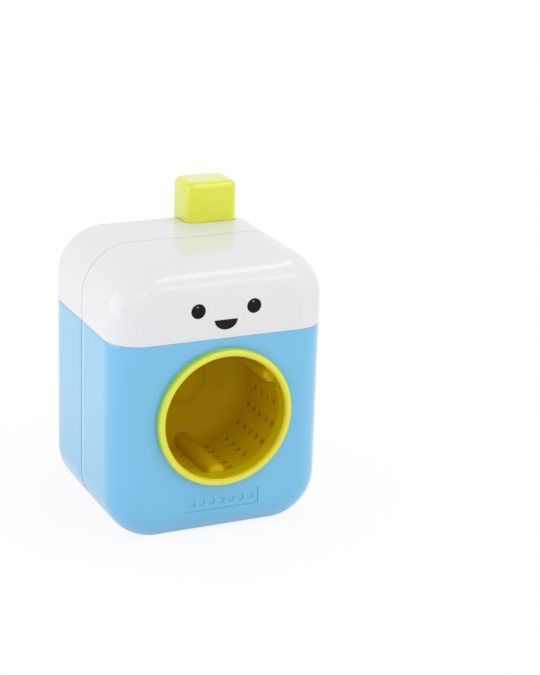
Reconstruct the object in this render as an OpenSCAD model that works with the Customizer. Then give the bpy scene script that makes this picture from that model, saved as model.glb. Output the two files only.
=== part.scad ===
// Toy washing machine: a push knob spins a perforated drum through a rack and a gear train.
// Millimetres. +Z is up, the door faces -Y, and the origin is on the floor under the middle.

/* [Housing] */
// Width of the housing
body_w = 125; // [122:1:160]
// Depth of the housing
body_d = 116; // [112:1:150]
// Height of the housing
body_h = 158; // [150:1:195]
// Radius of the housing's corners, seen from the front
corner_r = 28; // [24:0.5:32]
// Radius of the edge round the front face
front_fillet = 18.5; // [10:0.5:19]
// Radius of the edge round the back face
rear_fillet = 27; // [12:0.5:28]
// Wall thickness of the four shells
wall = 2.4; // [1.8:0.1:3]
// Where the front and back halves meet, measured from the middle
seam_y = -4.5; // [-6:0.5:0]
// Height of the line between the lower shells and the upper caps
split_z = 116; // [112:1:128]
// Width of the fine groove along the seam
seam_gap = 0.4; // [0.2:0.1:0.8]
// Gap between the lower shells and the caps
split_gap = 0.2; // [0.1:0.1:0.4]

/* [Door ring] */
// Height of the drum's axis above the floor
drum_z = 71; // [66:0.5:76]
// Inner radius of the door ring
throat_r = 35; // [28:0.5:36]
// Width of the ring's rounded lip
lip_w = 4.5; // [3:0.5:5]
// Wall thickness of the ring's throat
throat_t = 1.9; // [1.4:0.1:2.2]
// How far the lip stands proud of the front face
ring_proud = 4.5; // [3:0.5:7]
// How far the throat reaches in behind the front face
throat_depth = 5.5; // [5:0.5:8]

/* [Panel] */
// Width of the sunk panel below the door
panel_w = 44.5; // [20:0.5:56]
// Height of the sunk panel
panel_h = 9.8; // [6:0.2:12]
// Height of the panel's middle above the floor
panel_z = 21.5; // [20:0.5:23]
// Depth of the sunk panel
panel_depth = 0.6; // [0.3:0.1:1]

/* [Drum] */
// Gap between the ring's throat and the inside of the drum
drum_clear = 0.6; // [0.4:0.1:1]
// Wall thickness of the drum
drum_t = 1.8; // [1.4:0.1:2]
// Inner depth of the drum
drum_depth = 58; // [40:1:58]
// Radius of the drum's edge at the back
drum_fillet = 14; // [6:0.5:16]
// Number of lifters in the drum
lifter_count = 3; // [2:1:4]
// Radius of the half-round lifters
lifter_r = 6; // [4:0.5:8]
// Radius of the edge round a lifter's front end
lifter_round = 3.5; // [1:0.5:3.5]
// Radius of the drain holes
hole_r = 1.7; // [1.2:0.1:2]
// Rows of drain holes between two lifters
hole_rows = 6; // [2:1:6]
// Distance between the holes in a row
hole_pitch = 8.2; // [7:0.1:12]
// Angle from a lifter to the first row beside it
lifter_clear_deg = 15; // [13:0.5:20]

/* [Knob] */
// Width of the push knob
knob_w = 31; // [25.5:0.5:33]
// Depth of the push knob
knob_d = 24; // [20:0.5:25]
// How far the knob stands above the housing
knob_proud = 23; // [18:0.5:28]
// Radius of the knob's upright edges
knob_corner = 5; // [3.8:0.1:6]
// Radius of the knob's top edges
knob_fillet = 3.8; // [2.4:0.1:3.8]
// Distance of the knob's middle to the right of the drum's axis
knob_x = 24.5; // [22:0.5:25.5]
// Distance of the knob's middle behind the housing's middle
knob_y = 31.5; // [31:0.5:32.5]
// How far the knob travels
travel = 15; // [8:0.5:16]

/* [Gears] */
// Module of all teeth
gear_m = 1.25; // [1:0.05:1.3]
// Pressure angle of all teeth
pressure_deg = 25; // [20:1:25]
// Teeth of the pinion that the rack drives
pinion_teeth = 12; // [11:1:14]
// Teeth of the large wheel on the same hub
wheel_teeth = 40; // [34:1:42]
// Teeth of the gear on the drum's shaft
drum_teeth = 14; // [12:1:16]
// Face width of the wheel and of the drum gear
wheel_w = 4.6; // [3:0.1:4.6]
// Width of the rack
rack_w = 12; // [8:0.5:12]
// Radius of the drum's shaft
shaft_r = 3; // [2:0.1:3.5]
// Radius of the idler's axle
axle_r = 2; // [1.5:0.1:2.5]
// Clearance on a radius where a shaft turns
running = 0.05; // [0.02:0.01:0.1]

/* [Spring] */
// Mean radius of the return spring's coil
spring_r = 3.2; // [2.8:0.1:4]
// Wire diameter of the return spring
spring_wire = 0.7; // [0.5:0.1:0.9]
// Turns of the return spring
spring_turns = 11; // [7:1:14]

/* [Drain] */
// Radius of the drain holes in the floor of the housing
drain_r = 2.2; // [1.5:0.1:3]

/* [Hidden] */
$fn = 96;
blue = [0.47, 0.73, 0.88];
white = [0.94, 0.94, 0.95];
lime = [0.86, 0.88, 0.25];
grey = [0.72, 0.74, 0.76];
steel = [0.66, 0.67, 0.69];
ivory = [0.94, 0.92, 0.86];
cut = 1;                                 // how far a cut runs past what it cuts
lap_t = 1.1;                             // thickness of the tongue behind the seam
lap_len = 3;                             // length of that tongue
lap_clear = 0.1;
front_y = -body_d / 2;
inner_front_y = front_y + wall;
inner_back_y = body_d / 2 - wall;
front_len = body_d / 2 + seam_y - seam_gap / 2;
back_len = body_d / 2 - seam_y - seam_gap / 2;
// Door ring and drum, front to back
drum_r = throat_r + throat_t + drum_clear;
opening_r = throat_r + throat_t + 0.1;
throat_y = front_y + throat_depth;
tab_len = 1.1;
drum_y0 = inner_front_y + tab_len + 0.5;
drum_back_y = drum_y0 + drum_depth;
drum_out_r = drum_r + drum_t;
drum_bead = 0.8;
collar_r = drum_out_r + drum_bead + 0.4;
collar_t = 1.6;
collar_len = 8;
hub_r = 8;
hub_y = drum_back_y + drum_t + 1.5;
dome_r = 16;
dome_h = 4;
socket_y = drum_back_y - dome_h + 2;     // where the shaft's socket in the drum begins
lifter_y = throat_y + 0.5;
first_hole_y = front_y + 12.5;
last_hole_y = drum_back_y + drum_t - drum_fillet - hole_r - 1;
row_step = (360 / lifter_count - 2 * lifter_clear_deg) / max(1, hole_rows - 1);
// Bearing stack behind the drum
washer_t = 0.8;
washer_y = hub_y + 0.1;
flange_t = 1;
flange_r = 6.5;
flange_y = washer_y + washer_t + 0.1;
chassis_t = 2.4;
chassis_y = flange_y + flange_t;
chassis_back_y = chassis_y + chassis_t;
bush_r = shaft_r + 2;
boss_end_y = chassis_back_y + 1;
// Gears, front to back
gear_y = boss_end_y + 0.35;
gear_back_y = gear_y + wheel_w;
slide = 0.3;                             // clearance of the rack in its channel
cheek = 2;                               // wall of that channel
rack_y = gear_back_y + cheek + slide + 1.05;
rack_back_y = rack_y + rack_w;
pinion_back_y = rack_back_y + 0.5;
cover_y = pinion_back_y + 3;
cover_t = 2.4;
cover_back_y = cover_y + cover_t;
// Where the gears stand, seen from the front; the rack hangs beside the knob's screw
knob_t = 2.2;                            // wall of the knob
post_r = 3.2;                            // radius of the post for the knob's screw
screw_x = knob_x - min(9, knob_w / 2 - knob_t - post_r - 0.4);
rack_x = screw_x + 5.5;
backlash = 0.15;                         // taken off each tooth's thickness
addendum = 0.9 * gear_m;
dedendum = 1.15 * gear_m;
pinion_pr = gear_m * pinion_teeth / 2;
wheel_pr = gear_m * wheel_teeth / 2;
drum_gear_pr = gear_m * drum_teeth / 2;
centre_dist = wheel_pr + drum_gear_pr;
cluster_x = rack_x - pinion_pr;
cluster_z = drum_z + sqrt(pow(centre_dist, 2) - pow(cluster_x, 2));
mesh_deg = atan2(drum_z - cluster_z, -cluster_x);
rack_pitch = PI * gear_m;
rack_back = 6.5;                         // thickness of the rack behind its pitch line
rack_low = 2;                            // teeth below the pinion's axis at rest
rack_high = ceil((travel + 6) / rack_pitch);
// Knob, guide and plunger
knob_clear = 0.4;
knob_top = body_h + knob_proud;
guide_t = 1.6;
guide_z = body_h - 22;
plate_top = guide_z - 0.3;
plate_t = 2.6;
plate_z = plate_top - plate_t;
plate_ear = knob_clear + guide_t - 0.1;
stem_h = 5.3;
stem_clear = 0.2;
rack_bottom = cluster_z - 21.4;
spring_x = knob_x + 9.5;
shelf_z = cluster_z - 16.4;
shelf_t = 3;
pin_r = spring_r - spring_wire / 2 - 0.5;
// Rack guide on the gearbox cover
guide_low = rack_bottom - travel - 3;
guide_high = shelf_z - shelf_t + 0.5;
// Screws
screw_r = 1.35;
pilot_r = 1.38;
pass_r = 1.7;
head_r = 2.8;
head_t = 1.7;
sink_r = head_r + 0.5;
boss_r = 4;
pillar_r = sink_r + 1.3;
sink_y = 8;                              // depth at which the housing screws' heads sit
corner_in = corner_r - 14;
corner_posts = [for (s = [-1, 1]) [s * (body_w / 2 - corner_in - 2.5), corner_in]];
mid_posts = [for (s = [-1, 1]) [s * (body_w / 2 - 10.5), split_z - 18]];
shell_posts = concat(corner_posts, mid_posts);
cap_posts = [for (p = corner_posts) [p[0], body_h - p[1]]];
chassis_posts = [for (s = [-1, 1], z = [drum_z - 20.5, split_z - 8]) [s * (body_w / 2 - 16.5), z]];
cover_posts = [
    [-24, drum_z + 39.5], [-24, drum_z - 10.5],
    [knob_x + 13, drum_z - 10.5],
    [max(knob_x + knob_w / 2 + 7.5, cluster_x + wheel_pr + 6), max(cluster_z + 13.6, split_z + 1)]
];

// ---------- shapes used by several parts ----------

// Outline of a block whose outer far corner is rounded: x from an axis outward, y to its closed end
module rounded_end(r, len, f) {
    square([r, len - f]);
    translate([0, len - f]) square([r - f, f]);
    translate([r - f, len - f]) intersection() {
        circle(f);
        square(f);
    }
}

// Wall of a cup with a rounded closed end, with an inner tongue past its rim when lap is true
module cup_wall(r, len, f, t, lap) {
    difference() {
        rounded_end(r, len, f);
        translate([0, -cut]) rounded_end(r - t, len - t + cut, f - t);
    }
    if (lap) {
        translate([r - t - lap_clear - lap_t, -lap_len]) square([lap_t, lap_len + 0.2]);
        translate([r - t - lap_clear - lap_t, 0]) square([lap_t + lap_clear + 0.3, lap_len]);
    }
}

// A rounded-rectangle sweep of the outline given as the child, about four corner axes
module frame_sweep(w, h, r) {
    for (a = [0, 90, 180, 270]) {
        upright = a % 180 == 0;
        along = (upright ? h : w) - 2 * r;
        out = (upright ? w : h) / 2 - r;
        rotate(a) translate([out, along / 2, 0]) {
            rotate([90, 0, 0]) linear_extrude(along) children();
            rotate_extrude(angle = 90) children();
        }
    }
}

// Hollow cup with rounded corners and a rounded closed end, its rim at z = 0
module cup(w, h, len, r, f, t, lap = false) {
    frame_sweep(w, h, r) cup_wall(r, len, f, t, lap);
    translate([r - w / 2, r - h / 2, len - t]) cube([w - 2 * r, h - 2 * r, t]);
}

// The same cup filled in
module block(w, h, len, r, f) {
    frame_sweep(w, h, r) rounded_end(r, len, f);
    translate([r - w / 2, r - h / 2, 0]) cube([w - 2 * r, h - 2 * r, len]);
}

// Outline of a rectangle with round corners
module rounded_rect(w, h, r) {
    square([w, h - 2 * r], center = true);
    for (s = [-1, 1]) {
        translate([0, s * (h / 2 - r / 2)]) square([w - 2 * r, r], center = true);
    }
    for (sx = [-1, 1], sy = [-1, 1]) {
        translate([sx * (w / 2 - r), sy * (h / 2 - r)]) intersection() {
            circle(r);
            translate([sx * r / 2, sy * r / 2]) square(r, center = true);
        }
    }
}

// Rod from y0 to y1, parallel to the drum's axis
module rod(x, z, y0, y1, r) {
    translate([x, y1, z]) rotate([90, 0, 0]) cylinder(h = y1 - y0, r = r);
}

// Everything drawn in the x-z plane, given thickness from y0 to y1
module plate(y0, y1) {
    translate([0, y1, 0]) rotate([90, 0, 0]) linear_extrude(y1 - y0) children();
}

module below_split() {
    translate([-body_w, -body_d, -cut]) cube([2 * body_w, 2 * body_d, split_z - split_gap / 2 + cut]);
}

module above_split() {
    translate([-body_w, -body_d, split_z + split_gap / 2]) cube([2 * body_w, 2 * body_d, body_h]);
}

// Pan-head screw with a cross recess, its head on z = 0 and its shank up to z = len
module screw(len) {
    tip = 2;
    difference() {
        union() {
            translate([0, 0, -head_t * 0.45]) cylinder(h = head_t * 0.45, r = head_r, $fn = 32);
            translate([0, 0, -head_t])
                cylinder(h = head_t * 0.55, r1 = head_r * 0.6, r2 = head_r, $fn = 32);
            cylinder(h = len - tip, r = screw_r, $fn = 24);
            translate([0, 0, len - tip]) cylinder(h = tip, r1 = screw_r, r2 = 0.3, $fn = 24);
        }
        for (a = [0, 90]) {
            rotate(a) translate([-head_r * 0.55, -0.35, -head_t - cut])
                cube([head_r * 1.1, 0.7, head_t * 0.5 + cut]);
        }
    }
}

// A screw whose head sits at y and whose tip points along dir (1 back, -1 forward)
module screw_y(x, y, z, len, dir) {
    translate([x, y, z]) rotate([-90 * dir, 0, 0]) screw(len);
}

// ---------- gear teeth ----------

// Half the angle that a tooth fills at radius r
function half_tooth(teeth, r) =
    let (pr = gear_m * teeth / 2, br = pr * cos(pressure_deg), a = acos(min(1, br / r)))
    (rack_pitch / 2 - backlash) / (2 * pr) * 180 / PI
        + (tan(pressure_deg) * 180 / PI - pressure_deg) - (tan(a) * 180 / PI - a);

// Radii at which a flank's points lie, from the root to the tip
function flank_radii(teeth) =
    let (pr = gear_m * teeth / 2, low = max(pr - dedendum, pr * cos(pressure_deg)), tip = pr + addendum)
    concat(low > pr - dedendum ? [pr - dedendum] : [], [for (i = [0:4]) low + (tip - low) * i / 4]);

function gear_points(teeth) =
    let (rs = flank_radii(teeth), n = len(rs))
    [for (k = [0:teeth - 1], j = [0:2 * n - 1])
        let (up = j < n, r = rs[up ? j : 2 * n - 1 - j], base = gear_m * teeth / 2 * cos(pressure_deg),
            half = half_tooth(teeth, max(r, base)), a = 360 * k / teeth + (up ? -half : half))
        [r * cos(a), r * sin(a)]];

// Gear of the given width in front of y_back, with a tooth's middle at turn degrees
module gear(teeth, x, z, y_back, width, turn) {
    translate([x, y_back, z]) rotate([90, 0, 0]) rotate(turn)
        linear_extrude(width) polygon(gear_points(teeth));
}

// Outline of the rack: a space lies level with the pinion's axis at rest
function rack_points() =
    let (half = (rack_pitch / 2 - backlash) / 2, slope = tan(pressure_deg),
        tip = half - addendum * slope, root = half + dedendum * slope)
    concat(
        [[rack_x + rack_back, plate_z + 0.5], [rack_x + rack_back, rack_bottom],
            [rack_x + dedendum, rack_bottom]],
        [for (k = [-rack_low:rack_high - 1], j = [0:3])
            let (zc = cluster_z + (k + 0.5) * rack_pitch, out = j == 1 || j == 2)
            [out ? rack_x - addendum : rack_x + dedendum,
                zc + (j < 2 ? -1 : 1) * (out ? tip : root)]],
        [[rack_x + dedendum, plate_z + 0.5]]);

// ---------- housing ----------

module front_skin() {
    translate([0, seam_y - seam_gap / 2, body_h / 2]) rotate([90, 0, 0])
        cup(body_w, body_h, front_len, corner_r, front_fillet, wall);
}

// The front half's form, half a wall inside its skin
module front_core() {
    translate([0, seam_y - seam_gap / 2, body_h / 2]) rotate([90, 0, 0])
        block(body_w - wall, body_h - wall, front_len - wall / 2, corner_r - wall / 2,
            front_fillet - wall / 2);
}

module rear_skin() {
    translate([0, seam_y + seam_gap / 2, body_h / 2]) rotate([-90, 0, 0])
        cup(body_w, body_h, back_len, corner_r, rear_fillet, wall, true);
}

module rear_core() {
    translate([0, seam_y + seam_gap / 2, body_h / 2]) rotate([-90, 0, 0])
        block(body_w - wall, body_h - wall, back_len - wall / 2, corner_r - wall / 2,
            rear_fillet - wall / 2);
}

// Posts from the seam to the front wall, for the housing screws
module front_posts(spots) {
    intersection() {
        front_core();
        for (p = spots) rod(p[0], p[1], front_y, seam_y - seam_gap / 2, boss_r);
    }
}

// Posts from y0 to the back wall
module rear_posts(spots, y0, r) {
    intersection() {
        rear_core();
        for (p = spots) rod(p[0], p[1], y0, body_d / 2, r);
    }
}

module front_pilots(spots) {
    for (p = spots) rod(p[0], p[1], seam_y - 14, seam_y + cut, pilot_r);
}

// Clearance hole and the deep pocket that lets a short screw in from the back
module rear_pockets(spots) {
    for (p = spots) {
        rod(p[0], p[1], seam_y - cut, sink_y + cut, pass_r);
        rod(p[0], p[1], sink_y, body_d / 2 + cut, sink_r);
    }
}

// Tab that stands up behind the cap's wall: runs along x at wall face y, thickness inward dir
module clip_x(x, y, dir, w) {
    low = split_z - 3;
    high = split_z + 5;
    t = 1.7;
    translate([x - w / 2, dir > 0 ? y + lap_clear : y - lap_clear - t, low]) cube([w, t, high - low]);
    translate([x - w / 2, dir > 0 ? y - 0.6 : y - t - lap_clear, low])
        cube([w, t + lap_clear + 0.6, split_z - split_gap / 2 - low]);
}

module clip_y(side, y, w) {
    rotate(-90 * side) clip_x(-side * y, body_w / 2 - wall, -1, w);
}

module front_shell() color(blue) {
    difference() {
        union() {
            intersection() {
                front_skin();
                below_split();
            }
            front_posts(shell_posts);
            intersection() {
                below_split();
                rod(0, drum_z, inner_front_y - 0.4, inner_front_y + collar_len, collar_r + collar_t);
            }
            for (s = [-1, 1]) {
                clip_x(s * 20, inner_front_y, 1, 12);
                clip_y(s, seam_y - 23, 12);
            }
        }
        rod(0, drum_z, front_y - cut, inner_front_y + cut, opening_r);
        rod(0, drum_z, inner_front_y, inner_front_y + collar_len + cut, collar_r);
        front_pilots(shell_posts);
        translate([0, front_y, panel_z]) cube([panel_w, 2 * panel_depth, panel_h], center = true);
    }
}

module rear_shell() color(blue) {
    drain_pitch = 12;
    rib_t = 1.6;
    rib_h = 6;
    difference() {
        union() {
            intersection() {
                rear_skin();
                below_split();
            }
            rear_posts(shell_posts, seam_y + seam_gap / 2, pillar_r);
            rear_posts(chassis_posts, chassis_back_y, boss_r);
            for (s = [-1, 1]) {
                clip_x(s * 20, inner_back_y, -1, 12);
                clip_y(s, 17, 12);
                translate([s * 16 - rib_t / 2, inner_back_y - rib_h, corner_r + 4])
                    cube([rib_t, rib_h + 0.4, split_z - corner_r - 10]);
            }
        }
        rear_pockets(shell_posts);
        for (p = chassis_posts) rod(p[0], p[1], chassis_back_y - cut, chassis_back_y + 12, pilot_r);
        for (i = [-2:2], j = [0:2]) {
            translate([i * drain_pitch, 6 + j * 10, -cut])
                cylinder(h = wall + 2 * cut, r = drain_r, $fn = 24);
        }
    }
}

module front_cap() color(white) {
    difference() {
        union() {
            intersection() {
                front_skin();
                above_split();
            }
            front_posts(cap_posts);
        }
        front_pilots(cap_posts);
    }
}

module knob_prism(grow, z0, z1) {
    translate([knob_x, knob_y, z0]) linear_extrude(z1 - z0)
        rounded_rect(knob_w + 2 * grow, knob_d + 2 * grow, knob_corner + grow);
}

module rear_cap() color(white) {
    difference() {
        union() {
            intersection() {
                rear_skin();
                above_split();
            }
            rear_posts(cap_posts, seam_y + seam_gap / 2, pillar_r);
            intersection() {
                rear_core();
                knob_prism(knob_clear + guide_t, guide_z, body_h);
            }
        }
        knob_prism(knob_clear, guide_z - cut, body_h + cut);
        rear_pockets(cap_posts);
    }
}

module bezel_ring() color(lime) {
    round_r = lip_w / 2;
    tab_deg = 12;
    translate([0, 0, drum_z]) rotate([90, 0, 0]) {
        rotate_extrude($fn = 128) {
            translate([throat_r, -throat_y]) square([throat_t, -front_y + throat_y + 0.5]);
            translate([throat_r, -front_y]) square([lip_w, ring_proud - round_r]);
            translate([throat_r + round_r, -front_y + ring_proud - round_r]) circle(round_r, $fn = 48);
        }
        for (a = [45:90:315]) {
            rotate(a - tab_deg / 2) rotate_extrude(angle = tab_deg)
                translate([throat_r + throat_t - 0.4, -inner_front_y - 0.1 - tab_len])
                    square([1.4, tab_len]);
        }
    }
}

// ---------- bulkhead, cover and bearings ----------

module chassis() color(grey) {
    w = body_w - 21;
    low = drum_z - 28.5;
    high = max(split_z + 8, cover_posts[3][1] + 7);
    difference() {
        union() {
            plate(chassis_y, chassis_back_y) translate([0, (low + high) / 2])
                rounded_rect(w, high - low, 8);
            rod(0, drum_z, chassis_back_y - 0.2, boss_end_y, bush_r + 2);
            rod(cluster_x, cluster_z, chassis_back_y - 0.2, boss_end_y, axle_r + 3);
            for (p = cover_posts) rod(p[0], p[1], chassis_back_y - 0.2, cover_y, 3.5);
            for (s = [-1, 1]) {
                translate([s * (w / 2 - 8) - 0.8, chassis_back_y - 0.2, low + 16]) cube([1.6, 5, 38]);
            }
        }
        rod(0, drum_z, chassis_y - cut, boss_end_y + cut, bush_r + 0.02);
        rod(cluster_x, cluster_z, chassis_y - cut, boss_end_y + cut, axle_r + 0.02);
        for (p = mid_posts) rod(p[0], p[1], chassis_y - cut, chassis_back_y + cut, pillar_r + 0.6);
        for (p = chassis_posts) rod(p[0], p[1], chassis_y - cut, chassis_back_y + cut, pass_r);
        for (p = cover_posts) rod(p[0], p[1], cover_y - 12, cover_y + cut, pilot_r);
        plate(chassis_y - cut, chassis_back_y + cut) for (s = [-1, 1]) {
            translate([s * 28, drum_z - 18]) rounded_rect(18, 8, 3.9);
        }
    }
}

module gearbox_cover() color(grey) {
    left = cover_posts[0][0] - 6;
    right = cover_posts[3][0] + 6;
    low = cover_posts[1][1] - 6;
    high = max(cover_posts[0][1], cover_posts[3][1]) + 6;
    back_x = rack_x + rack_back + slide;
    shelf_x = back_x + 0.1;
    notch_w = knob_w + 2 * plate_ear + 1.2;
    difference() {
        union() {
            plate(cover_y, cover_back_y) translate([(left + right) / 2, (low + high) / 2])
                rounded_rect(right - left, high - low, 5.5);
            rod(0, drum_z, rack_back_y - 4, cover_y + 0.2, shaft_r + 3);
            rod(cluster_x, cluster_z, pinion_back_y + 0.4, cover_y + 0.2, axle_r + 2.5);
            // channel that the rack runs in
            translate([back_x, rack_y - slide - cheek, guide_low])
                cube([cheek, cover_y - rack_y + slide + cheek + 0.2, guide_high - guide_low]);
            translate([rack_x - addendum, rack_y - slide - cheek, guide_low])
                cube([back_x + 0.2 - rack_x + addendum, cheek, guide_high - guide_low]);
            translate([rack_x + dedendum, rack_back_y + slide, guide_low])
                cube([back_x + 0.2 - rack_x - dedendum, cover_y - rack_back_y - slide + 0.2,
                    guide_high - guide_low]);
            // shelf and pin under the spring
            translate([shelf_x, knob_y - 5, shelf_z - shelf_t])
                cube([spring_x + 5.5 - shelf_x, cover_y - knob_y + 5.2, shelf_t]);
            translate([spring_x, knob_y, shelf_z - 0.2]) cylinder(h = 6.2, r = pin_r, $fn = 32);
        }
        rod(0, drum_z, rack_back_y - 4 - cut, cover_y + 1.2, shaft_r + running);
        rod(cluster_x, cluster_z, pinion_back_y - cut, cover_y + 1.2, axle_r + 0.02);
        for (p = cover_posts) rod(p[0], p[1], cover_y - cut, cover_back_y + cut, pass_r);
        // room for the housing's posts and for the knob's plunger
        for (p = chassis_posts) rod(p[0], p[1], cover_y - cut, cover_back_y + cut, boss_r + 0.6);
        for (p = mid_posts) rod(p[0], p[1], cover_y - cut, cover_back_y + cut, pillar_r + 0.6);
        translate([knob_x - notch_w / 2, cover_y - cut, plate_z - travel - 0.8])
            cube([notch_w, cover_t + 2 * cut, travel + high]);
        plate(cover_y - cut, cover_back_y + cut) translate([left + 22, (low + high) / 2 + 4])
            rounded_rect(14, 22, 5);
    }
}

module drum_bush() color(ivory) {
    difference() {
        union() {
            rod(0, drum_z, flange_y, chassis_y, flange_r);
            rod(0, drum_z, flange_y, boss_end_y, bush_r);
        }
        rod(0, drum_z, flange_y - cut, boss_end_y + cut, shaft_r + running);
    }
}

module thrust_washer() color(ivory) {
    difference() {
        rod(0, drum_z, washer_y, washer_y + washer_t, flange_r);
        rod(0, drum_z, washer_y - cut, washer_y + washer_t + cut, shaft_r + 0.1);
    }
}

module idler_axle() color(steel) {
    chamfer = 0.4;
    rod(cluster_x, cluster_z, chassis_y, cover_y + 1 - chamfer, axle_r);
    translate([cluster_x, cover_y + 1 - chamfer, cluster_z]) rotate([-90, 0, 0])
        cylinder(h = chamfer, r1 = axle_r, r2 = axle_r - chamfer);
}

// ---------- drum ----------

module drum() color(lime) {
    cap_r = (pow(dome_r, 2) + pow(dome_h, 2)) / (2 * dome_h);
    dome_flat = 0.15;
    shell_len = drum_depth + drum_t;
    translate([0, drum_y0, drum_z]) rotate([-90, 0, 0]) difference() {
        union() {
            rotate_extrude($fn = 128) {
                cup_wall(drum_out_r, shell_len, drum_fillet, drum_t, false);
                translate([drum_out_r - 0.3, 0]) square([drum_bead + 0.3, 2]);
                translate([0, drum_depth + 0.2]) square([hub_r, hub_y - drum_back_y - 0.2]);
                intersection() {
                    translate([0, drum_depth - dome_h + cap_r]) circle(cap_r, $fn = 96);
                    translate([0, drum_depth - dome_h + dome_flat]) square([dome_r, dome_h + 0.5]);
                }
            }
            intersection() {
                rotate_extrude($fn = 128)
                    rounded_end(drum_out_r - drum_t / 2, shell_len - drum_t / 2, drum_fillet - drum_t / 2);
                for (k = [0:lifter_count - 1]) rotate(90 + 360 * k / lifter_count) lifter();
            }
        }
        drain_rows();
        translate([0, 0, socket_y - drum_y0]) cylinder(h = hub_y - drum_y0, r = shaft_r + 0.02);
    }
}

// Half-round lifter with a rounded front end, run through the back wall
module lifter() {
    translate([drum_r, 0, drum_back_y + cut - drum_y0]) rotate([180, 0, 0]) rotate_extrude($fn = 48)
        rounded_end(lifter_r, drum_back_y + cut - lifter_y, lifter_round);
}

// Rows of drain holes between the lifters; the rows next to the outer ones are staggered
module drain_rows() {
    for (k = [0:lifter_count - 1], i = [0:hole_rows - 1]) {
        first = first_hole_y + (i % 3 == 1 ? hole_pitch / 2 : 0);
        a = 90 + 360 * k / lifter_count + lifter_clear_deg + i * row_step;
        for (y = [first:hole_pitch:last_hole_y]) {
            rotate(a) translate([drum_r - 2, 0, y - drum_y0]) rotate([0, 90, 0])
                cylinder(h = drum_t + 4, r = hole_r, $fn = 24);
        }
    }
}

module drum_shaft() color(steel) {
    chamfer = 0.5;
    end_y = cover_y + 0.8;
    rod(0, drum_z, socket_y + 0.2, end_y - chamfer, shaft_r);
    translate([0, end_y - chamfer, drum_z]) rotate([-90, 0, 0])
        cylinder(h = chamfer, r1 = shaft_r, r2 = shaft_r - chamfer);
}

module drum_gear() color(ivory) {
    difference() {
        union() {
            gear(drum_teeth, 0, drum_z, gear_back_y, wheel_w, mesh_deg + 180 + 180 / drum_teeth);
            rod(0, drum_z, gear_back_y - 0.2, rack_back_y - 4.4, shaft_r + 2.4);
        }
        rod(0, drum_z, gear_y - cut, rack_back_y, shaft_r + 0.02);
    }
}

module cluster_gear() color(ivory) {
    web_in = pinion_pr + 4;
    web_out = wheel_pr - dedendum - 3;
    recess = 1.3;
    difference() {
        union() {
            gear(wheel_teeth, cluster_x, cluster_z, gear_back_y, wheel_w, mesh_deg);
            gear(pinion_teeth, cluster_x, cluster_z, pinion_back_y, pinion_back_y - gear_back_y + 0.2, 0);
        }
        rod(cluster_x, cluster_z, gear_y - cut, pinion_back_y + cut, axle_r + running);
        // recess between the hub and the rim, with six round windows
        difference() {
            rod(cluster_x, cluster_z, gear_back_y - recess, gear_back_y + cut, web_out);
            rod(cluster_x, cluster_z, gear_back_y - recess - cut, gear_back_y + 2 * cut, web_in);
        }
        for (k = [0:5]) {
            a = 60 * k + 30;
            rod(cluster_x + (web_in + web_out) / 2 * cos(a), cluster_z + (web_in + web_out) / 2 * sin(a),
                gear_y - cut, gear_back_y + cut, (web_out - web_in) / 2 - 0.6);
        }
    }
}

// ---------- knob ----------

module push_knob() color(lime) {
    len = knob_top - plate_top;
    post_z = plate_top + stem_h + 0.2;
    translate([knob_x, knob_y, plate_top]) cup(knob_w, knob_d, len, knob_corner, knob_fillet, knob_t);
    translate([screw_x, knob_y, post_z]) difference() {
        cylinder(h = knob_top - post_z - knob_t / 2, r = post_r, $fn = 48);
        translate([0, 0, -cut]) cylinder(h = 12 + cut, r = pilot_r, $fn = 32);
    }
}

module plunger() color(grey) {
    stem_in = knob_t + stem_clear;
    difference() {
        union() {
            translate([knob_x - knob_w / 2 - plate_ear, knob_y - knob_d / 2 + 0.5, plate_z])
                cube([knob_w + 2 * plate_ear, knob_d - 1, plate_t]);
            translate([knob_x, knob_y, plate_top - 0.2]) linear_extrude(stem_h + 0.2)
                rounded_rect(knob_w - 2 * stem_in, knob_d - 2 * stem_in, knob_corner - stem_in);
            plate(rack_y, rack_back_y) polygon(rack_points());
            translate([spring_x, knob_y, plate_z - 14]) cylinder(h = 14.2, r = pin_r, $fn = 32);
        }
        translate([screw_x, knob_y, plate_z - cut])
            cylinder(h = plate_t + stem_h + 3, r = pass_r, $fn = 32);
    }
}

module plunger_screw() color(steel) {
    translate([screw_x, knob_y, plate_z]) screw(16);
}

// ---------- return spring ----------

function spring_path(steps) =
    let (low = shelf_z + spring_wire / 2 + 0.05, high = plate_z - spring_wire / 2 - 0.05)
    [for (i = [0:steps])
        let (u = i / steps, a = 360 * spring_turns * u)
        [spring_r * cos(a), spring_r * sin(a), low + (high - low) * u]];

// Wire swept round the path with six sides
module return_spring() color(steel) {
    per_turn = 10;
    sides = 6;
    path = spring_path(per_turn * spring_turns);
    n = len(path);
    points = [for (i = [0:n - 1], k = [0:sides - 1])
        let (a = atan2(path[i][1], path[i][0]), b = 360 * k / sides, r = spring_wire / 2)
        path[i] + [r * cos(b) * cos(a), r * cos(b) * sin(a), r * sin(b)]];
    side_faces = [for (i = [0:n - 2], k = [0:sides - 1], half = [0, 1])
        let (a = i * sides + k, b = i * sides + (k + 1) % sides)
        half == 0 ? [a, a + sides, b + sides] : [a, b + sides, b]];
    ends = [[for (k = [0:sides - 1]) k], [for (k = [sides - 1:-1:0]) (n - 1) * sides + k]];
    translate([spring_x, knob_y, 0]) polyhedron(points, concat(side_faces, ends));
}

// ---------- screws ----------

module chassis_screws() color(steel) {
    for (p = chassis_posts) screw_y(p[0], chassis_y, p[1], 13, 1);
}

module cover_screws() color(steel) {
    for (p = cover_posts) screw_y(p[0], cover_back_y, p[1], 13, -1);
}

module housing_screws() color(steel) {
    for (p = concat(shell_posts, cap_posts)) screw_y(p[0], sink_y, p[1], 24, -1);
}

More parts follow.
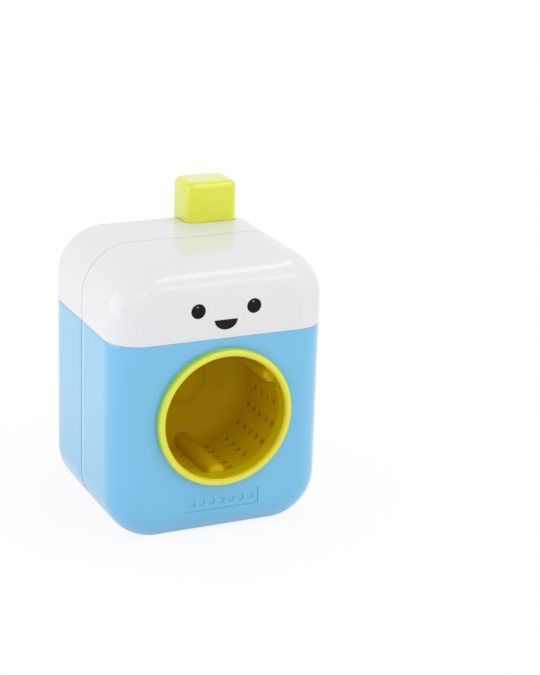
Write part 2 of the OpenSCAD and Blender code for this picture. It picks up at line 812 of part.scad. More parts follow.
front_shell();
rear_shell();
front_cap();
rear_cap();
bezel_ring();
chassis();
gearbox_cover();
drum_bush();
thrust_washer();
idler_axle();
drum();
drum_shaft();
drum_gear();
cluster_gear();
push_knob();
plunger();
plunger_screw();
return_spring();
chassis_screws();
cover_screws();
housing_screws();
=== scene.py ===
"""Looks of the toy washing machine: smooth glossy shells, door ring, drum, knob and a printed face.

Everything is in metres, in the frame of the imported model. The door faces -Y and +Z is up.
"""
import math

import bmesh
import bpy
from mathutils import Matrix, Vector


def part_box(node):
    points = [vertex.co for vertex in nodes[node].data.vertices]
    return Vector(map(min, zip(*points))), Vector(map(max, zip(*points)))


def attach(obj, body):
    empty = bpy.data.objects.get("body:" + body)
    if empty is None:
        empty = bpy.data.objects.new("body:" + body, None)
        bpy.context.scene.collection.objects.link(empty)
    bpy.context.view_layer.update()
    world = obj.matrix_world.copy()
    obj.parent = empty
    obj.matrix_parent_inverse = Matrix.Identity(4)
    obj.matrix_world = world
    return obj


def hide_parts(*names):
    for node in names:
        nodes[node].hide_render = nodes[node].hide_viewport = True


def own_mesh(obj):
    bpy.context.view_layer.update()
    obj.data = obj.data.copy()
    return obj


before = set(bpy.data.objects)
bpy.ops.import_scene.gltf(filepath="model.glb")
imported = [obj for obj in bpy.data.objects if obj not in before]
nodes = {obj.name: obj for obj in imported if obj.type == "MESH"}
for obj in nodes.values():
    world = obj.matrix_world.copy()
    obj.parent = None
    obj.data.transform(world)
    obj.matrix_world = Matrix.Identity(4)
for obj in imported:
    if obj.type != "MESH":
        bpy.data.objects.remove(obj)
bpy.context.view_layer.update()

# ---------- sizes that the frame doesn't give ----------

CORNER_R = 0.028                    # the housing's four corners, seen from the front
FRONT_FILLET = 0.0185               # rounding of its front edge
REAR_FILLET = 0.027                 # rounding of its rear edge
WALL = 0.0024
SEAM_GAP = 0.0006                   # groove between the front and rear halves
RIM_ROUND = 0.00012                 # rounding of the halves' edges in the groove
CAD_SPLIT_GAP = 0.0002              # gap between the shells and the caps in the frame's nodes
SPLIT_GAP = 0.0001                  # the same gap in the smooth skins
SPLIT_ROUND = 0.00006               # rounding of the edges at that gap
LIP_W = 0.0045                      # width of the door ring's lip
THROAT_T = 0.0019                   # wall of the ring behind the lip
HOLE_CLEAR = 0.0001                 # gap between that wall and the door opening
KNOB_CORNER = 0.005                 # the knob's four corners, seen from above
KNOB_FILLET = 0.0038                # rounding of its top edge
KNOB_CLEAR = 0.0004                 # gap round the knob

# ---------- sizes taken from the frame ----------

FRONT_LOW, FRONT_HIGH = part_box("front_shell")
REAR_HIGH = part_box("rear_shell")[1]
CAP_LOW, CAP_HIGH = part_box("front_cap")
RING_LOW, RING_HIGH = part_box("bezel_ring")
KNOB_LOW, KNOB_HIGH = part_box("push_knob")
KNOB_SIZE = KNOB_HIGH - KNOB_LOW
KNOB_MIDDLE = (KNOB_LOW + KNOB_HIGH) / 2
BODY_W = FRONT_HIGH.x - FRONT_LOW.x
BODY_H = CAP_HIGH.z
FRONT_Y = FRONT_LOW.y
BACK_Y = REAR_HIGH.y
RIM_FRONT_Y = CAP_HIGH.y            # front side of the groove
RIM_REAR_Y = RIM_FRONT_Y + SEAM_GAP
SPLIT_Z = CAP_LOW.z - CAD_SPLIT_GAP / 2
RING_Z = (RING_LOW.z + RING_HIGH.z) / 2
RING_OUT_R = (RING_HIGH.z - RING_LOW.z) / 2
RING_IN_R = RING_OUT_R - LIP_W
RING_FRONT_Y = RING_LOW.y
RING_BACK_Y = RING_HIGH.y
HOLE_R = RING_IN_R + THROAT_T + HOLE_CLEAR

# ---------- camera ----------

CAM_AZIMUTH = math.radians(-25.47)
CAM_ELEVATION = math.radians(18.86)
CAM_ROLL = math.radians(1.96)
CAM_DISTANCE = 1.0925
CAM_AIM = Vector((0, 0, 0.075))
CAM_RIGHT = 0.04935                 # how far the camera stands to the right of the line to its aim
CAM_UP = 0.02128                    # and how far above it
FOCAL_PX = 1921.4                   # focal length in pixels of the 540 x 675 frame
IMAGE_H = 675
SENSOR_MM = 36


def make_camera():
    cos_e = math.cos(CAM_ELEVATION)
    back = Vector((math.sin(CAM_AZIMUTH) * cos_e, -math.cos(CAM_AZIMUTH) * cos_e,
                   math.sin(CAM_ELEVATION)))
    level = Vector((math.cos(CAM_AZIMUTH), math.sin(CAM_AZIMUTH), 0))
    upright = back.cross(level)
    right = math.cos(CAM_ROLL) * level + math.sin(CAM_ROLL) * upright
    up = math.cos(CAM_ROLL) * upright - math.sin(CAM_ROLL) * level
    data = bpy.data.cameras.new("camera")
    data.sensor_width = SENSOR_MM
    data.lens = FOCAL_PX / IMAGE_H * SENSOR_MM
    camera = bpy.data.objects.new("camera", data)
    bpy.context.scene.collection.objects.link(camera)
    turn = Matrix((right, up, back)).transposed().to_4x4()
    place = Matrix.Translation(CAM_AIM + back * CAM_DISTANCE + right * CAM_RIGHT + up * CAM_UP)
    camera.matrix_world = place @ turn
    bpy.context.scene.camera = camera


# ---------- shader nodes ----------

MIX_FIRST = 6                       # colour inputs and output of a Mix node, by their number,
MIX_SECOND = 7                      # since its other kinds have sockets of the same names
MIX_RESULT = 2
NOISE_SPAN = (0.3, 0.7)             # nearly all of a noise texture's values lie in it


def new_material(name):
    material = bpy.data.materials.new(name)
    material.use_nodes = True
    tree = material.node_tree
    shader = tree.nodes["Principled BSDF"]
    return material, tree, shader


def object_coords(tree, scale):
    coords = tree.nodes.new("ShaderNodeTexCoord")
    mapping = tree.nodes.new("ShaderNodeMapping")
    mapping.inputs["Scale"].default_value = scale
    tree.links.new(coords.outputs["Object"], mapping.inputs["Vector"])
    return mapping.outputs["Vector"]


def noise(tree, place, scale, detail):
    node = tree.nodes.new("ShaderNodeTexNoise")
    node.inputs["Scale"].default_value = scale
    node.inputs["Detail"].default_value = detail
    tree.links.new(place, node.inputs["Vector"])
    return node.outputs["Fac"]


def map_range(tree, value, start, end, low=0, high=1):
    """Low where the value is at start, high where it is at end, and never past either."""
    node = tree.nodes.new("ShaderNodeMapRange")
    node.inputs["From Min"].default_value = start
    node.inputs["From Max"].default_value = end
    node.inputs["To Min"].default_value = low
    node.inputs["To Max"].default_value = high
    tree.links.new(value, node.inputs["Value"])
    return node.outputs["Result"]


def spread(tree, value, low, high):
    """Spreads a noise value over low to high."""
    return map_range(tree, value, *NOISE_SPAN, low, high)


def vector_math(tree, operation, vector, other=(0, 0, 0)):
    node = tree.nodes.new("ShaderNodeVectorMath")
    node.operation = operation
    node.inputs[1].default_value = other
    tree.links.new(vector, node.inputs[0])
    return node


def value_math(tree, operation, first, second):
    """The second value may be a plain number."""
    node = tree.nodes.new("ShaderNodeMath")
    node.operation = operation
    tree.links.new(first, node.inputs[0])
    if isinstance(second, float):
        node.inputs[1].default_value = second
    else:
        tree.links.new(second, node.inputs[1])
    return node.outputs["Value"]


def mix_colours(tree, share, first, second):
    """From the first colour to the second. The first may be the output of another node."""
    node = tree.nodes.new("ShaderNodeMix")
    node.data_type = "RGBA"
    tree.links.new(share, node.inputs[0])
    if isinstance(first, bpy.types.NodeSocket):
        tree.links.new(first, node.inputs[MIX_FIRST])
    else:
        node.inputs[MIX_FIRST].default_value = (*first, 1)
    node.inputs[MIX_SECOND].default_value = (*second, 1)
    return node.outputs[MIX_RESULT]


# ---------- materials ----------

FLOW_SCALE = 22                     # clouds in a moulding's colour
POLISH_SCALE = 160                  # patches in its gloss
SKIN_SCALE = 900                    # its skin texture
SKIN_DEPTH = 0.0002
DRAWN_SCALE = 400                   # lines along a drawn metal part
DRAWN_STRETCH = (1, 12, 1)
THROAT_SHADE_RADII = (RING_IN_R + 0.0018, RING_IN_R + 0.0006)      # radii where painted shade turns the throat golden
EDGE_SHADE_RADII = (RING_OUT_R - 0.0011, RING_OUT_R - 0.0002)   # radii where painted shade and a painted reflection of the blue housing turn the ring's outer edge green


def linear(red, green, blue):
    """Screen colour of 0 to 255 to the linear colour that a shader takes."""
    def one(value):
        value /= 255
        return value / 12.92 if value <= 0.04045 else ((value + 0.055) / 1.055) ** 2.4
    return one(red), one(green), one(blue)


def moulded(name, colour, rough=(0.16, 0.24), vary=0.03, bump=0.04, coat=0.0, specular=0.5,
            coat_rough=0.08, shade_rings=()):
    """Moulded plastic: faint flow clouds in the colour, uneven polish and a very fine skin texture.

    Shade rings are painted shade: (radius, radius, colour) round the drum's axis, from none of the
    colour to all of it.
    """
    material, tree, shader = new_material(name)
    place = object_coords(tree, (1, 1, 1))
    flow = noise(tree, place, FLOW_SCALE, detail=4)
    dark = [c * (1 - vary) for c in colour]
    light = [min(1, c * (1 + vary)) for c in colour]
    paint = mix_colours(tree, spread(tree, flow, 0, 1), dark, light)
    if shade_rings:
        paint = paint_shade_rings(tree, place, paint, shade_rings)
    tree.links.new(paint, shader.inputs["Base Color"])
    polish = noise(tree, place, POLISH_SCALE, detail=3)
    tree.links.new(spread(tree, polish, *rough), shader.inputs["Roughness"])
    skin = noise(tree, place, SKIN_SCALE, detail=2)
    relief = tree.nodes.new("ShaderNodeBump")
    relief.inputs["Strength"].default_value = bump
    relief.inputs["Distance"].default_value = SKIN_DEPTH
    tree.links.new(skin, relief.inputs["Height"])
    tree.links.new(relief.outputs["Normal"], shader.inputs["Normal"])
    shader.inputs["Specular IOR Level"].default_value = specular
    shader.inputs["Coat Weight"].default_value = coat
    shader.inputs["Coat Roughness"].default_value = coat_rough
    return material


def paint_shade_rings(tree, place, paint, shade_rings):
    """Lays each ring's painted shade over the paint, by the distance from the drum's axis."""
    from_centre = vector_math(tree, "SUBTRACT", place, (0, 0, RING_Z)).outputs["Vector"]
    from_axis = vector_math(tree, "MULTIPLY", from_centre, (1, 0, 1)).outputs["Vector"]
    away = vector_math(tree, "LENGTH", from_axis).outputs["Value"]
    for start, end, colour in shade_rings:
        paint = mix_colours(tree, map_range(tree, away, start, end), paint, colour)
    return paint


def drawn_metal(name, dark, light, rough):
    """Plated metal with fine drawn lines along the part."""
    material, tree, shader = new_material(name)
    lines = noise(tree, object_coords(tree, DRAWN_STRETCH), DRAWN_SCALE, detail=4)
    paint = mix_colours(tree, spread(tree, lines, 0, 1), dark, light)
    tree.links.new(paint, shader.inputs["Base Color"])
    tree.links.new(spread(tree, lines, *rough), shader.inputs["Roughness"])
    shader.inputs["Metallic"].default_value = 1.0
    return material


BLUE = moulded("blue_plastic", linear(104, 181, 222), rough=(0.12, 0.18), vary=0.012, coat=1.0)
WHITE = moulded("white_plastic", linear(220, 220, 223), rough=(0.15, 0.21), vary=0.008, coat=0.06,
                specular=0.4)
LIME = moulded("lime_plastic", linear(217, 222, 40), vary=0.015, coat=1.0, coat_rough=0.12)
# The door ring's lime plastic with painted shade: golden in the throat, and dark green at the outer
# edge, where a painted reflection of the blue housing also falls.
RING_LIME_SHADED = moulded("ring_plastic_painted_shade", linear(218, 219, 48), vary=0.015, coat=0.6, coat_rough=0.12,
                    shade_rings=[(*THROAT_SHADE_RADII, linear(208, 190, 0)), (*EDGE_SHADE_RADII, linear(160, 196, 20))])
# The drum's own lime plastic, painted darker and golden as the shade inside the drum.
DRUM_SHADED_LIME = moulded("drum_lime_painted_shade", linear(211, 179, 0), rough=(0.5, 0.6), vary=0.04, bump=0.08,
                specular=0.1)
GREY = moulded("grey_plastic", linear(190, 193, 197), rough=(0.42, 0.55), vary=0.03, bump=0.12)
IVORY = moulded("acetal", linear(240, 236, 222), rough=(0.35, 0.45), vary=0.02, bump=0.08)
STEEL = drawn_metal("plated_steel", dark=(0.42, 0.43, 0.45), light=(0.58, 0.59, 0.61),
                    rough=(0.22, 0.38))
INK = moulded("black_print", linear(12, 11, 13), rough=(0.2, 0.28), vary=0.06, bump=0.05,
              specular=0.15)
MOUTH_INK = moulded("brown_print", linear(30, 17, 10), rough=(0.25, 0.34), vary=0.12, bump=0.05,
                    specular=0.15)
# A painted highlight: a small grey glint laid over each eye.
PAINTED_GLINT = moulded("painted_eye_glint", linear(110, 110, 116), rough=(0.2, 0.3), vary=0.03, bump=0.02)

# ---------- mesh helpers ----------

SHARP_ANGLE = math.radians(38)      # steeper edges than this stay sharp
CUT_PAST = 0.001                    # how far most cutters reach past the surface that they cut


def link_mesh(name, mesh, material):
    thing = bpy.data.objects.new(name, mesh)
    bpy.context.scene.collection.objects.link(thing)
    mesh.materials.clear()
    mesh.materials.append(material)
    return thing


def smooth(thing):
    thing.data.shade_smooth()
    thing.data.set_sharp_from_angle(angle=SHARP_ANGLE)


def finish_mesh(bm, name, material):
    bmesh.ops.recalc_face_normals(bm, faces=bm.faces)
    mesh = bpy.data.meshes.new(name)
    bm.to_mesh(mesh)
    bm.free()
    thing = link_mesh(name, mesh, material)
    smooth(thing)
    return thing


def skin_loops(bm, loops, closed_rows=False):
    """Faces between closed loops of equally many points, given as lists of coordinates."""
    rows = [[bm.verts.new(point) for point in loop] for loop in loops]
    pairs = list(zip(rows, rows[1:]))
    if closed_rows:
        pairs.append((rows[-1], rows[0]))
    for low, high in pairs:
        count = len(low)
        for i in range(count):
            j = (i + 1) % count
            bm.faces.new((low[i], low[j], high[j], high[i]))
    return rows


def skin_capped(bm, loops):
    """The same, with a face over the first loop and one over the last."""
    rows = skin_loops(bm, loops)
    bm.faces.new(rows[0])
    bm.faces.new(rows[-1])


def arc(centre, radius, start_deg, sweep_deg, steps):
    """Points of an arc in a plane."""
    points = []
    for i in range(steps + 1):
        a = math.radians(start_deg + sweep_deg * i / steps)
        points.append((centre[0] + radius * math.cos(a), centre[1] + radius * math.sin(a)))
    return points


def circle(centre, radius, steps):
    return arc(centre, radius, 0, 360, steps)[:-1]


def rounded_outline(w, h, r, inset, arc_steps, side_steps):
    """Outline of a rectangle with round corners, drawn in by inset. Always the same number of points."""
    arcs = []
    for k, (sign_x, sign_y) in enumerate([(1, 1), (-1, 1), (-1, -1), (1, -1)]):
        centre = (sign_x * (w / 2 - r), sign_y * (h / 2 - r))
        arcs.append(arc(centre, r - inset, 90 * k, 90, arc_steps))
    points = []
    for corner, following in zip(arcs, arcs[1:] + arcs[:1]):
        points += corner
        last = corner[-1]
        after = following[0]
        for i in range(1, side_steps):
            t = i / side_steps
            points.append((last[0] + (after[0] - last[0]) * t, last[1] + (after[1] - last[1]) * t))
    return points


def prism(name, outline, axis, low, high, material=WHITE):
    """Straight prism of an outline. Axis Y takes (x, z) points and axis Z takes (x, y) points."""
    loops = []
    for level in (low, high):
        loops.append([(a, level, b) if axis == "Y" else (a, b, level) for a, b in outline])
    bm = bmesh.new()
    skin_capped(bm, loops)
    return finish_mesh(bm, name, material)


def carve(thing, *cutters):
    """Cuts the cutters out of thing and removes them."""
    for cutter in cutters:
        tool = thing.modifiers.new("cut", "BOOLEAN")
        tool.operation = "DIFFERENCE"
        tool.solver = "EXACT"
        tool.object = cutter
    graph = bpy.context.evaluated_depsgraph_get()
    mesh = bpy.data.meshes.new_from_object(thing.evaluated_get(graph))
    thing.modifiers.clear()
    old = thing.data
    thing.data = mesh
    mesh.name = thing.name
    bpy.data.meshes.remove(old)
    for cutter in cutters:
        bpy.data.objects.remove(cutter)
    smooth(thing)


# ---------- housing walls ----------

ARC_STEPS = 32                      # mesh steps in a quarter turn
SIDE_STEPS = 18                     # along each straight side of the outline
WALL_STEPS = 8                      # from the groove to the front or rear rounding
FACE_STEPS = 10                     # from the front rounding to the door opening
RIM_STEPS = 3                       # in the rounding of a half's outer edge
SAME_PLACE = 1e-7                   # how near to the cut a point counts as on it
OUTSIDE_SHARE = 0.3                 # of the wall: an edge no deeper than this is an outer edge


def half_section(rim_y, end_y, fillet):
    """Section of one half's wall as (inset, y): up the inside, round the rim and down the outside."""
    way = 1 if end_y > rim_y else -1
    inner_fillet = fillet - WALL
    inner_end = end_y - way * WALL
    wall_start = rim_y + way * RIM_ROUND
    wall_end = end_y - way * fillet
    section = []
    for i in range(ARC_STEPS // 2 + 1):
        a = math.radians(90 * (1 - 2 * i / ARC_STEPS))
        y = inner_end - way * inner_fillet * (1 - math.sin(a))
        section.append((fillet - inner_fillet * math.cos(a), y))
    section += [(WALL, wall_start), (WALL - RIM_ROUND, rim_y)]
    for i in range(RIM_STEPS + 1):
        a = math.radians(90 * i / RIM_STEPS)
        section.append((RIM_ROUND * (1 - math.sin(a)), rim_y + way * RIM_ROUND * (1 - math.cos(a))))
    for i in range(1, WALL_STEPS + 1):
        section.append((0, wall_start + (wall_end - wall_start) * i / WALL_STEPS))
    for i in range(1, ARC_STEPS + 1):
        a = math.radians(90 * i / ARC_STEPS)
        section.append((fillet * (1 - math.cos(a)), end_y - way * fillet * (1 - math.sin(a))))
    return section


def outline_at(inset, y):
    flat = rounded_outline(BODY_W, BODY_H, CORNER_R, inset, ARC_STEPS, SIDE_STEPS)
    return [(x, y, z + BODY_H / 2) for x, z in flat]


def towards_opening(loop, share):
    """Moves a loop in its own plane towards the door opening."""
    out = []
    for x, y, z in loop:
        away = math.hypot(x, z - RING_Z)
        hole_x = x / away * HOLE_R
        hole_z = RING_Z + (z - RING_Z) / away * HOLE_R
        out.append((x + (hole_x - x) * share, y, z + (hole_z - z) * share))
    return out


def front_half(bm):
    loops = [outline_at(*point) for point in half_section(RIM_FRONT_Y, FRONT_Y, FRONT_FILLET)]
    front = [towards_opening(loops[-1], (i + 1) / FACE_STEPS) for i in range(FACE_STEPS)]
    back = [towards_opening(loops[0], (FACE_STEPS - i) / FACE_STEPS) for i in range(FACE_STEPS)]
    skin_loops(bm, back + loops + front, closed_rows=True)


def rear_half(bm):
    skin_capped(bm, [outline_at(*point) for point in half_section(RIM_REAR_Y, BACK_Y, REAR_FILLET)])


def outer_distance(point):
    """How far inside the housing's outer surface a point at the split's level lies."""
    in_front = point.y < RIM_FRONT_Y + SPLIT_GAP
    fillet = FRONT_FILLET if in_front else REAR_FILLET
    end = FRONT_Y if in_front else BACK_Y
    dy = max(0, fillet - abs(end - point.y))
    dx = max(0, fillet - (BODY_W / 2 - abs(point.x)))
    if dy > 0 and dx > 0:
        return fillet - math.hypot(dx, dy)
    return min(BODY_W / 2 - abs(point.x), abs(end - point.y))


def on_outside(edge):
    middle = (edge.verts[0].co + edge.verts[1].co) / 2
    return outer_distance(middle) < WALL * OUTSIDE_SHARE


def split(bm, z, keep_above):
    """Keeps what lies above or below a level and closes the cut with slightly rounded edges."""
    normal = (0, 0, -1 if keep_above else 1)
    cut = bmesh.ops.bisect_plane(bm, geom=bm.verts[:] + bm.edges[:] + bm.faces[:], plane_co=(0, 0, z),
                                 plane_no=normal, clear_outer=True, dist=SAME_PLACE)
    edges = [e for e in cut["geom_cut"] if isinstance(e, bmesh.types.BMEdge)]
    bmesh.ops.triangle_fill(bm, edges=edges, use_beauty=True, use_dissolve=False)
    outer = [e for e in edges if e.is_valid and on_outside(e)]
    bmesh.ops.bevel(bm, geom=outer, offset=SPLIT_ROUND, segments=2, profile=0.5, affect="EDGES")


def housing_part(name, make_half, above, material):
    """The part of a half that lies above or below the split."""
    bm = bmesh.new()
    make_half(bm)
    bmesh.ops.recalc_face_normals(bm, faces=bm.faces)
    level = SPLIT_Z + SPLIT_GAP / 2 if above else SPLIT_Z - SPLIT_GAP / 2
    split(bm, level, above)
    return finish_mesh(bm, name, material)


# ---------- badge, screw pockets and holes ----------

BADGE_W = 0.0445
BADGE_H = 0.0098
BADGE_Z = 0.0215
BADGE_DEPTH = 0.0006
BADGE_CORNER = 0.0006
DIMPLE_COUNT = 7
DIMPLE_PITCH = 0.0058
DIMPLE_R = 0.002
DIMPLE_DEPTH = 0.0005               # below the badge
POCKET_R = 0.0033
POCKET_FLOOR_Y = 0.008
POCKET_IN = 0.0165                  # corner pockets, from the side and from the bottom or top
POCKET_UP = 0.014
MID_POCKET_IN = 0.0105              # middle pockets, from the side and below the split
MID_POCKET_DROP = 0.018
DRAIN_COLUMNS = 5
DRAIN_ROWS = 3
DRAIN_PITCH_X = 0.012
DRAIN_PITCH_Y = 0.01
DRAIN_FIRST_Y = 0.006               # row of holes nearest to the front
DRAIN_R = 0.0022
WELL_DEPTH = 0.022
WELL_PAST = 0.002                   # how far the knob well's cutter reaches past the top
FINE_STEPS = 32                     # mesh steps in a pocket's or dimple's circle
DRAIN_STEPS = 24


def badge_cutters():
    """A sunk bare panel with a row of plain round dimples."""
    flat = rounded_outline(BADGE_W, BADGE_H, BADGE_CORNER, 0, arc_steps=4, side_steps=2)
    outline = [(x, z + BADGE_Z) for x, z in flat]
    start = FRONT_Y - CUT_PAST
    floor = FRONT_Y + BADGE_DEPTH
    cutters = [prism("badge_panel", outline, "Y", start, floor)]
    for i in range(DIMPLE_COUNT):
        x = (i - (DIMPLE_COUNT - 1) / 2) * DIMPLE_PITCH
        outline = circle((x, BADGE_Z), DIMPLE_R, FINE_STEPS)
        cutters.append(prism("badge_dimple", outline, "Y", start, floor + DIMPLE_DEPTH))
    return cutters


def screw_pockets(inset, z):
    """Two pockets, sunk from the back at one height, that far in from each side."""
    cutters = []
    for side in (-1, 1):
        outline = circle((side * (BODY_W / 2 - inset), z), POCKET_R, FINE_STEPS)
        cutters.append(prism("pocket", outline, "Y", POCKET_FLOOR_Y, BACK_Y + CUT_PAST))
    return cutters


def drain_holes():
    holes = []
    for i in range(DRAIN_COLUMNS):
        x = (i - DRAIN_COLUMNS // 2) * DRAIN_PITCH_X
        for j in range(DRAIN_ROWS):
            outline = circle((x, DRAIN_FIRST_Y + j * DRAIN_PITCH_Y), DRAIN_R, DRAIN_STEPS)
            holes.append(prism("drain", outline, "Z", -CUT_PAST, WALL + CUT_PAST))
    return holes


def knob_well():
    flat = rounded_outline(KNOB_SIZE.x + 2 * KNOB_CLEAR, KNOB_SIZE.y + 2 * KNOB_CLEAR,
                           KNOB_CORNER + KNOB_CLEAR, 0, arc_steps=12, side_steps=4)
    outline = [(x + KNOB_MIDDLE.x, y + KNOB_MIDDLE.y) for x, y in flat]
    return prism("knob_well", outline, "Z", BODY_H - WELL_DEPTH, BODY_H + WELL_PAST)


def make_housing():
    front_shell = housing_part("front_shell_skin", front_half, False, BLUE)
    carve(front_shell, *badge_cutters())
    rear_shell = housing_part("rear_shell_skin", rear_half, False, BLUE)
    low_pockets = screw_pockets(POCKET_IN, POCKET_UP)
    mid_pockets = screw_pockets(MID_POCKET_IN, SPLIT_Z - MID_POCKET_DROP)
    carve(rear_shell, *low_pockets, *mid_pockets, *drain_holes())
    front_cap = housing_part("front_cap_skin", front_half, True, WHITE)
    rear_cap = housing_part("rear_cap_skin", rear_half, True, WHITE)
    carve(rear_cap, knob_well(), *screw_pockets(POCKET_IN, BODY_H - POCKET_UP))
    for piece, node, slot in (
            (front_shell, "front_shell", "blue_housing"), (rear_shell, "rear_shell", "blue_housing"),
            (front_cap, "front_cap", "white_housing"), (rear_cap, "rear_cap", "white_housing")):
        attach(piece, "housing")
        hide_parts(node)


# ---------- door ring ----------

RING_CHAMFER = 0.0003               # at the inner edge of its back
RING_TURN_STEPS = 160
LIP_STEPS = 24
THROAT_STEPS = 6
RING_SIDE_STEPS = 3


def make_ring():
    """One section, turned round the drum's axis: throat, round lip and the outer side."""
    half = LIP_W / 2
    crown = RING_FRONT_Y + half
    profile = [(RING_IN_R + THROAT_T, RING_BACK_Y), (RING_IN_R + RING_CHAMFER, RING_BACK_Y),
               (RING_IN_R, RING_BACK_Y - RING_CHAMFER)]
    for i in range(1, THROAT_STEPS):
        profile.append((RING_IN_R, RING_BACK_Y + (crown - RING_BACK_Y) * i / THROAT_STEPS))
    profile += arc((RING_IN_R + half, crown), half, 180, 180, LIP_STEPS)
    for i in range(1, RING_SIDE_STEPS + 1):
        profile.append((RING_OUT_R, crown + (FRONT_Y - crown) * i / RING_SIDE_STEPS))
    profile.append((RING_IN_R + THROAT_T, FRONT_Y))
    turns = [2 * math.pi * k / RING_TURN_STEPS for k in range(RING_TURN_STEPS)]
    loops = [[(r * math.cos(a), y, RING_Z + r * math.sin(a)) for a in turns] for r, y in profile]
    bm = bmesh.new()
    skin_loops(bm, loops, closed_rows=True)
    ring = finish_mesh(bm, "door_ring", RING_LIME_SHADED)
    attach(ring, "housing")
    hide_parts("bezel_ring")


# ---------- knob ----------

KNOB_TOP_STEPS = 12                 # in the rounding of its top edge
KNOB_LOOPS = (-0.002, 0.008)        # loops on its straight sides, from the housing's top


def make_knob():
    sections = [(0, KNOB_LOW.z)] + [(0, BODY_H + up) for up in KNOB_LOOPS]
    for i in range(KNOB_TOP_STEPS + 1):
        a = math.radians(90 * i / KNOB_TOP_STEPS)
        sections.append((KNOB_FILLET * (1 - math.cos(a)), KNOB_HIGH.z - KNOB_FILLET * (1 - math.sin(a))))
    loops = []
    for inset, z in sections:
        flat = rounded_outline(KNOB_SIZE.x, KNOB_SIZE.y, KNOB_CORNER, inset, arc_steps=16, side_steps=6)
        loops.append([(x + KNOB_MIDDLE.x, y + KNOB_MIDDLE.y, z) for x, y in flat])
    bm = bmesh.new()
    skin_capped(bm, loops)
    knob = finish_mesh(bm, "knob_block", LIME)
    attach(knob, "knob_body")
    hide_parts("push_knob")


# ---------- printed face and painted eye glints ---

PRINT_T = 0.00012
PRINT_SINK = 0.00005                # how far the print reaches into the wall
EYE_X = 0.0162
EYE_Z = 0.1326
EYE_R = 0.0041
EYE_STEPS = 48
# size and place of the painted highlight in each eye
GLINT_R = 0.0006
GLINT_LEFT = 0.0006                 # from the middle of the eye
GLINT_UP = 0.0025
GLINT_STEPS = 20
SMILE_HALF_W = 0.0067
SMILE_TOP_Z = 0.1265
SMILE_DROP = 0.0056
SMILE_STEPS = 40


def print_or_painted_glint(name, outline, material, layer=1):
    """A thin print on the front face, or a painted glint over an eye. The second layer lies over the
    first.
    """
    piece = prism(name, outline, "Y", FRONT_Y - PRINT_T * layer, FRONT_Y + PRINT_SINK, material)
    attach(piece, "housing")


def make_face():
    """Two round printed eyes, each with a painted glint, and a printed half-disc smile."""
    for side, name in ((-1, "eye_left"), (1, "eye_right")):
        x = side * EYE_X
        print_or_painted_glint(name, circle((x, EYE_Z), EYE_R, EYE_STEPS), INK)
        glint = circle((x - GLINT_LEFT, EYE_Z + GLINT_UP), GLINT_R, GLINT_STEPS)
        print_or_painted_glint(name + "_glint", glint, PAINTED_GLINT, layer=2)
    smile = []
    for i in range(SMILE_STEPS + 1):
        a = math.radians(180 + 180 * i / SMILE_STEPS)
        smile.append((SMILE_HALF_W * math.cos(a), SMILE_TOP_Z + SMILE_DROP * math.sin(a)))
    print_or_painted_glint("smile", smile, MOUTH_INK)


# ---------- return spring ----------

def make_spring():
    """The coil again, as a piece of its own on the housing."""
    coil = link_mesh("spring_coil", nodes["return_spring"].data.copy(), STEEL)
    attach(coil, "housing")
    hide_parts("return_spring")
    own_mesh(coil)


# ---------- the frame's own nodes ----------

def dress_nodes():
    """Gives every node of the frame its material, with those that a smooth piece replaces."""
    looks = {
        "drum": DRUM_SHADED_LIME, "chassis": GREY, "gearbox_cover": GREY, "plunger": GREY,
        "drum_bush": IVORY, "thrust_washer": IVORY, "drum_gear": IVORY, "cluster_gear": IVORY,
        "idler_axle": STEEL, "drum_shaft": STEEL, "return_spring": STEEL, "plunger_screw": STEEL,
        "chassis_screws": STEEL, "cover_screws": STEEL, "housing_screws": STEEL,
        "front_shell": BLUE, "rear_shell": BLUE, "front_cap": WHITE, "rear_cap": WHITE,
        "bezel_ring": RING_LIME_SHADED, "push_knob": LIME,
    }
    for name, material in looks.items():
        mesh = nodes[name].data
        if mesh.materials:
            for i in range(len(mesh.materials)):
                mesh.materials[i] = material
        else:
            mesh.materials.append(material)


# ---------- studio ----------

FLOOR_SIZE = 6.0
FLOOR_COLOUR = (0.93, 0.93, 0.935)
FADE_RADII = (0.08, 0.2)            # from under the toy's middle
FADE_LEVELS = (0.9, 1.0)            # share of plain white that the camera sees at these radii
MIRROR_SHARE = 0.3                  # share of it that glossy surfaces show
AMBIENT = 0.91                      # even light from all sides
LAMP_AIM = (0, 0, 0.09)


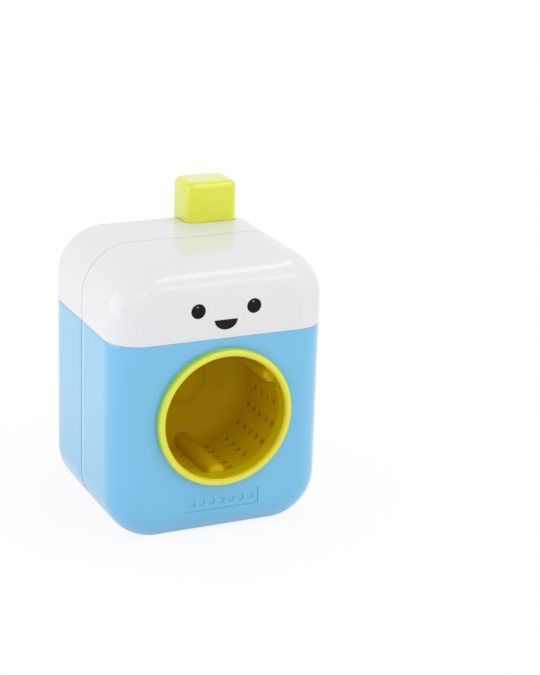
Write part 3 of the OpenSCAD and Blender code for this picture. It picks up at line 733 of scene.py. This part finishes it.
def make_floor():
    """Pale paper that looks white to the camera and keeps some of the toy's shadow close to it."""
    bm = bmesh.new()
    bmesh.ops.create_grid(bm, x_segments=8, y_segments=8, size=FLOOR_SIZE / 2)
    mesh = bpy.data.meshes.new("floor")
    bm.to_mesh(mesh)
    bm.free()
    material, tree, shader = new_material("floor_paper")
    tree.nodes.remove(shader)
    paper = tree.nodes.new("ShaderNodeBsdfDiffuse")
    paper.inputs["Color"].default_value = (*FLOOR_COLOUR, 1)
    glow = tree.nodes.new("ShaderNodeEmission")
    path = tree.nodes.new("ShaderNodeLightPath")
    place = tree.nodes.new("ShaderNodeTexCoord")
    away = vector_math(tree, "LENGTH", place.outputs["Object"]).outputs["Value"]
    fade = map_range(tree, away, *FADE_RADII, *FADE_LEVELS)
    seen = value_math(tree, "MULTIPLY", path.outputs["Is Camera Ray"], fade)
    mirrored = value_math(tree, "MULTIPLY", path.outputs["Is Glossy Ray"], MIRROR_SHARE)
    share = value_math(tree, "MAXIMUM", seen, mirrored)
    blend = tree.nodes.new("ShaderNodeMixShader")
    tree.links.new(share, blend.inputs[0])
    tree.links.new(paper.outputs[0], blend.inputs[1])
    tree.links.new(glow.outputs[0], blend.inputs[2])
    tree.links.new(blend.outputs[0], tree.nodes["Material Output"].inputs["Surface"])
    floor = link_mesh("floor", mesh, material)


def make_world():
    """Even light on the toy, and white for the camera and in what glossy and clear surfaces show."""
    world = bpy.data.worlds.new("studio")
    bpy.context.scene.world = world
    world.use_nodes = True
    tree = world.node_tree
    path = tree.nodes.new("ShaderNodeLightPath")
    seen = value_math(tree, "MAXIMUM", path.outputs["Is Camera Ray"], path.outputs["Is Glossy Ray"])
    through = value_math(tree, "MAXIMUM", seen, path.outputs["Is Transmission Ray"])
    background = tree.nodes["Background"]
    background.inputs["Color"].default_value = (1, 1, 1, 1)
    tree.links.new(map_range(tree, through, 0, 1, AMBIENT, 1), background.inputs["Strength"])


def softbox(name, place, size, power):
    """A rectangular lamp that faces the middle of the toy."""
    data = bpy.data.lights.new(name, "AREA")
    data.shape = "RECTANGLE"
    data.size, data.size_y = size
    data.energy = power
    lamp = bpy.data.objects.new(name, data)
    bpy.context.scene.collection.objects.link(lamp)
    lamp.location = place
    lamp.rotation_euler = (Vector(LAMP_AIM) - Vector(place)).to_track_quat("-Z", "Y").to_euler()


def make_lights():
    softbox("left_box", place=(-0.7, 0.1, 0.2), size=(0.6, 0.36), power=1.15)
    softbox("key_box", place=(-0.3, -0.75, 0.5), size=(0.22, 0.22), power=0.22)
    softbox("band_box", place=(0.46, -0.88, 0.58), size=(0.9, 0.1), power=0.85)
    softbox("ridge_box", place=(0.37, -0.36, 0.83), size=(0.9, 0.14), power=1.2)


make_camera()
make_housing()
make_ring()
make_knob()
make_face()
make_spring()
dress_nodes()
make_floor()
make_world()
make_lights()
bpy.context.scene.view_settings.view_transform = "Standard"
